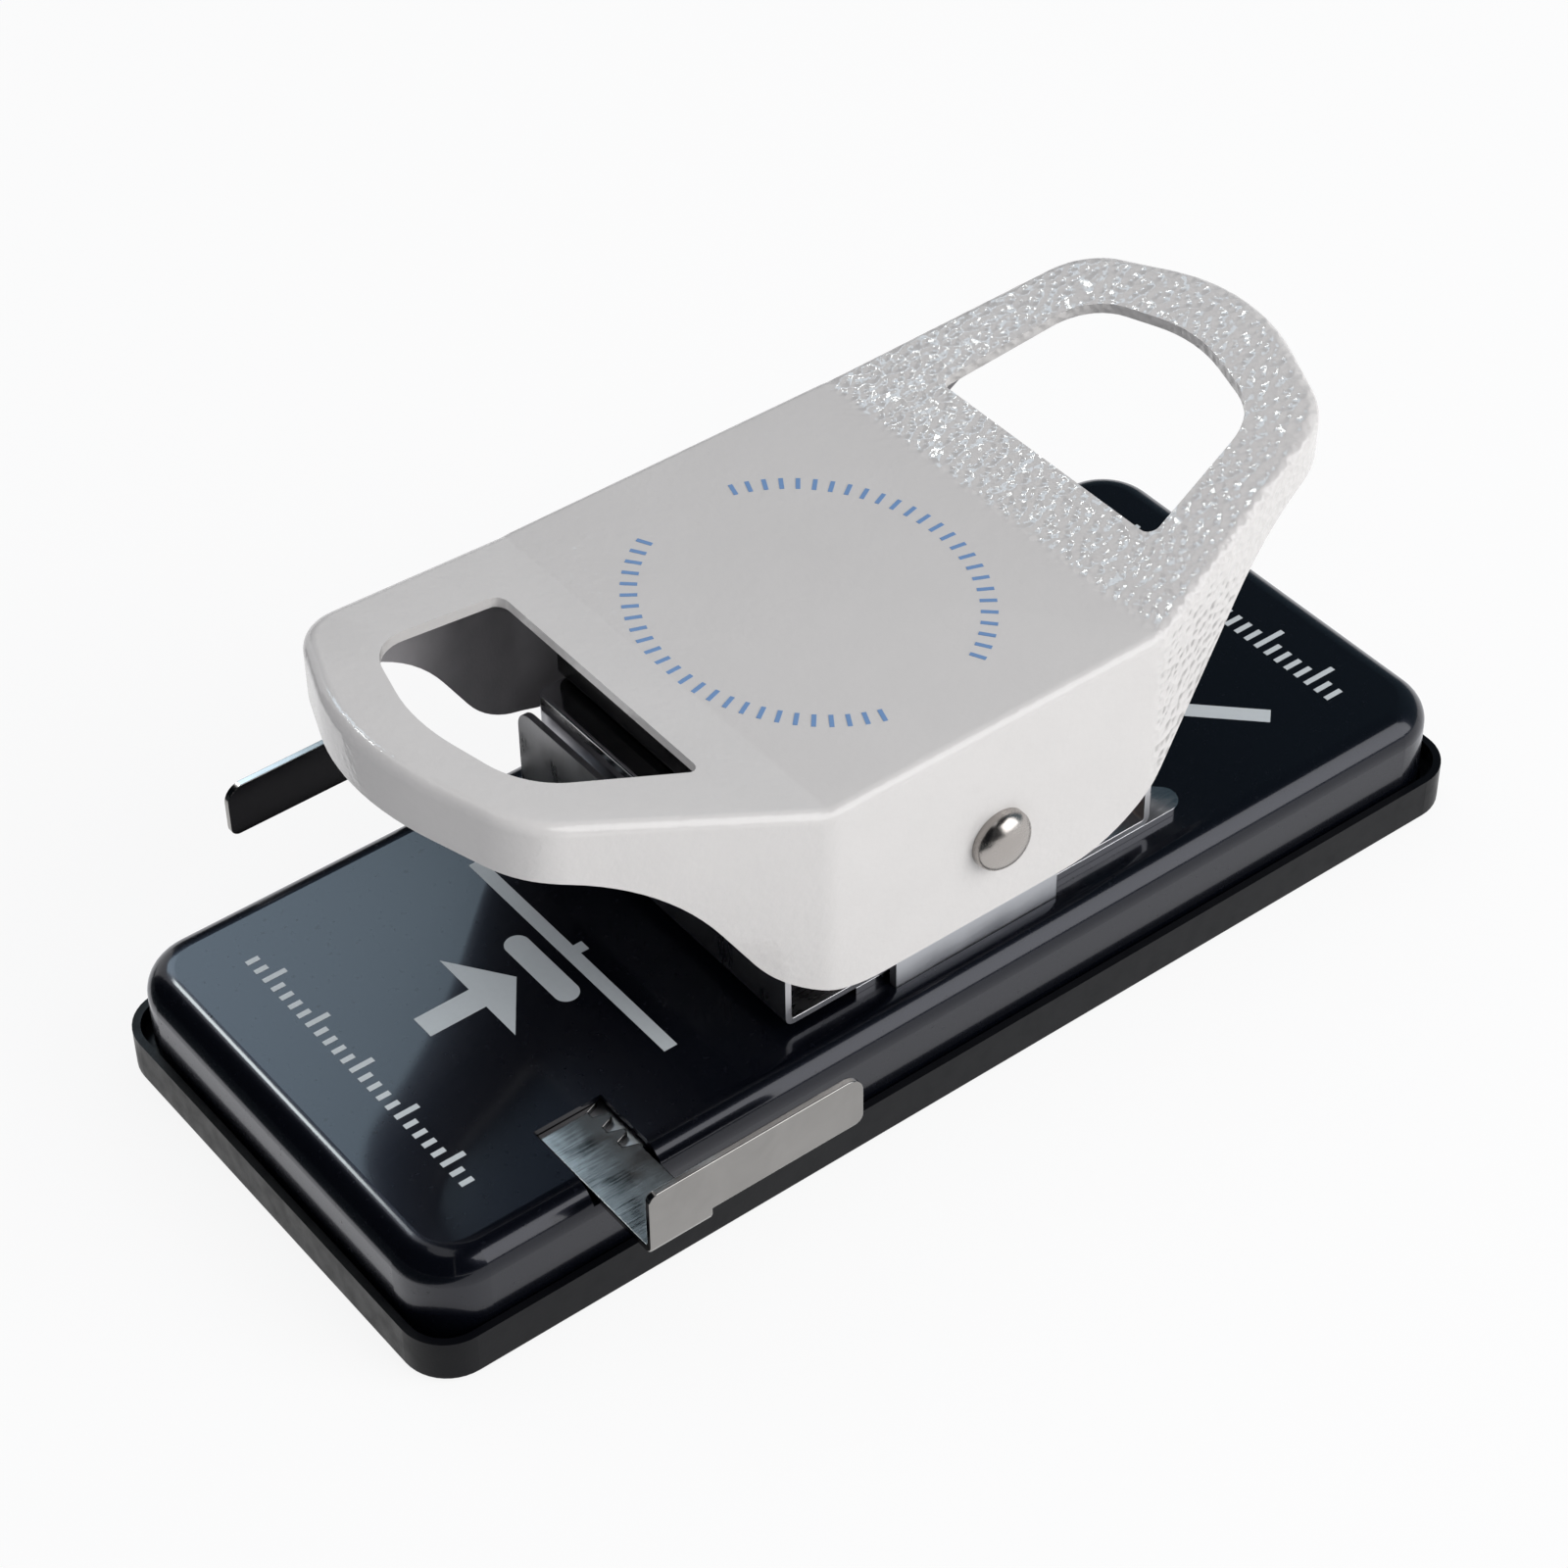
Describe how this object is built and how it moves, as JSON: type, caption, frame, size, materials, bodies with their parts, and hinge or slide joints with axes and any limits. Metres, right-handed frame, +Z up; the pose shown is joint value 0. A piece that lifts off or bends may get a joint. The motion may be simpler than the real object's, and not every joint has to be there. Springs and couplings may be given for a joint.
{
  "type": "card slot and corner punch",
  "caption": "Desk punch for identity cards: rocking two-loop handle, slot punch at one end, corner rounder at the other, sliding card guides.",
  "frame": {"origin": "middle of the base's footprint, on the table", "axes": "+X along the base from the slot end to the corner end, +Y to the back, +Z up"},
  "size_m": [0.171, 0.092, 0.0701],
  "materials": {
    "black_enamel": "mirror gloss black stoving enamel",
    "zinc_plate": "bright zinc plated sheet",
    "nylon": "natural nylon",
    "polished_plate": "bright chromium plated steel",
    "tool_steel": "ground hardened steel",
    "bronze": "sintered bronze",
    "black_screw": "black oxide",
    "spring_wire": "drawn spring steel",
    "black_plastic": "satin black plastic",
    "rubber": "matt black rubber",
    "grey_hammer_paint": "fine hammer-textured light grey paint",
    "black_paint": "semi-gloss black paint",
    "polished_rivet": "polished steel",
    "nickel_plate": "satin nickel plated sheet",
    "brass_gear": "cut brass"
  },
  "bodies": {
    "base": {"base_cover": "black_enamel", "pinion_stud": "zinc_plate", "guide_bed": "zinc_plate", "pivot_bracket": "zinc_plate", "pivot_bushes": "nylon", "die_plate": "polished_plate", "card_stop": "polished_plate", "top_frame": "polished_plate", "slot_die": "tool_steel", "corner_die": "tool_steel", "guide_bushes": "bronze", "frame_screws": "black_screw", "slot_spring_front": "spring_wire", "slot_spring_back": "spring_wire", "corner_spring_front": "spring_wire", "corner_spring_back": "spring_wire"},
    "tray": {"chip_tray": "black_plastic", "rubber_feet": "rubber"},
    "handle": {"handle_shell": "grey_hammer_paint", "press_frame": "black_paint", "pivot_pin": "polished_rivet"},
    "slot_tool": {"slot_carrier": "polished_plate", "slot_punch": "tool_steel", "slot_guide_pins": "tool_steel"},
    "corner_tool": {"corner_carrier": "polished_plate", "corner_punch": "tool_steel", "corner_guide_pins": "tool_steel"},
    "front_guide": {"front_guide": "nickel_plate"},
    "back_guide": {"back_guide": "nickel_plate"},
    "pinion": {"pinion": "brass_gear"}
  },
  "joints": [
    {"name": "handle_rock", "type": "hinge", "parent": "base", "child": "handle", "pos_m": [0.0035, 0, 0.0385], "axis": [0, 1, 0], "range_deg": [-8.5, 8.5], "stiffness_Nm_per_rad": 7},
    {"name": "slot_punch_slide", "type": "slide", "parent": "base", "child": "slot_tool", "axis": [0, 0, 1], "range_m": [-0.00335, 0.00335], "deforming": ["slot_spring_front", "slot_spring_back"]},
    {"name": "corner_punch_slide", "type": "slide", "parent": "base", "child": "corner_tool", "axis": [0, 0, 1], "range_m": [-0.00335, 0.00335], "deforming": ["corner_spring_front", "corner_spring_back"]},
    {"name": "front_guide_slide", "type": "slide", "parent": "base", "child": "front_guide", "axis": [0, 1, 0], "range_m": [0, 0.02]},
    {"name": "back_guide_slide", "type": "slide", "parent": "base", "child": "back_guide", "axis": [0, -1, 0], "range_m": [0, 0.02]},
    {"name": "pinion_spin", "type": "hinge", "parent": "base", "child": "pinion", "pos_m": [-0.0441, 0, 0.0163], "axis": [0, 0, 1], "range_deg": [-163.71, 0]},
    {"name": "tray_pull", "type": "slide", "parent": "base", "child": "tray", "axis": [0, 0, -1], "range_m": [0, 0.015]}
  ],
  "couplings": [
    {"joint": "slot_punch_slide", "follows": "handle_rock", "m_per_rad": 0.0226},
    {"joint": "corner_punch_slide", "follows": "handle_rock", "m_per_rad": -0.0226},
    {"joint": "back_guide_slide", "follows": "front_guide_slide", "ratio": 1},
    {"joint": "pinion_spin", "follows": "front_guide_slide", "rad_per_m": -142.86}
  ]
}
